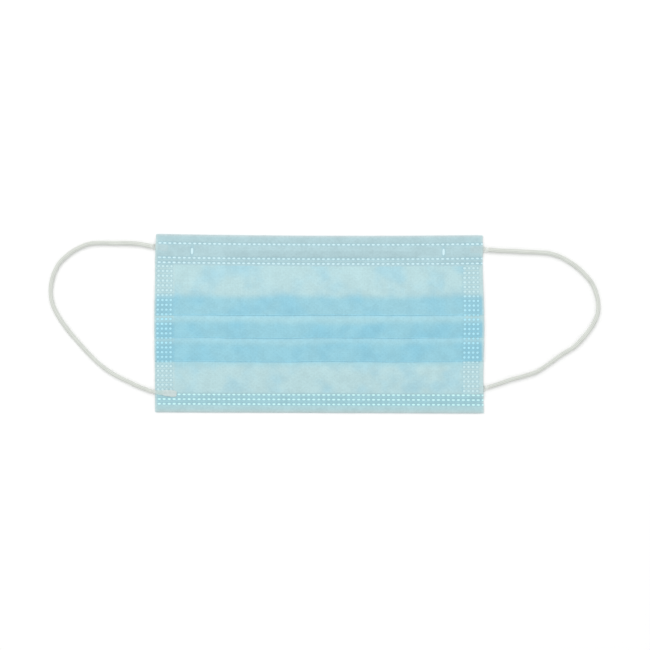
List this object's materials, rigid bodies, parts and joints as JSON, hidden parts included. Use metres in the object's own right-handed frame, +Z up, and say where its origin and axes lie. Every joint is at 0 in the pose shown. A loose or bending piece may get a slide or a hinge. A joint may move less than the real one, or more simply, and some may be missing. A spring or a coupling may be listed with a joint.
{
  "type": "surgical face mask",
  "caption": "Pleated rectangular face mask lying flat, with a stiffened nose edge and elastic ear loops at its sides.",
  "frame": {"origin": "middle of the flat underside of the cloth, on the surface it lies on", "axes": "+X along the mask's width, +Y towards the nose edge, +Z up, out of the front"},
  "size_m": [0.2934, 0.0944, 0.0046],
  "materials": {
    "nonwoven": "pale blue bonded nonwoven, matte",
    "coated_wire": "white plastic coating over a wire, matte",
    "elastic": "off-white knitted elastic, matte",
    "welded_elastic": "off-white elastic pressed flat and partly melted"
  },
  "bodies": {
    "root": {"pleated_panel": "nonwoven", "nose_wire": "coated_wire", "ear_loop_left": "elastic", "ear_loop_right": "elastic", "loop_end_left_top": "welded_elastic", "loop_end_left_bottom": "welded_elastic", "loop_end_right_top": "welded_elastic", "loop_end_right_bottom": "welded_elastic"}
  },
  "joints": []
}
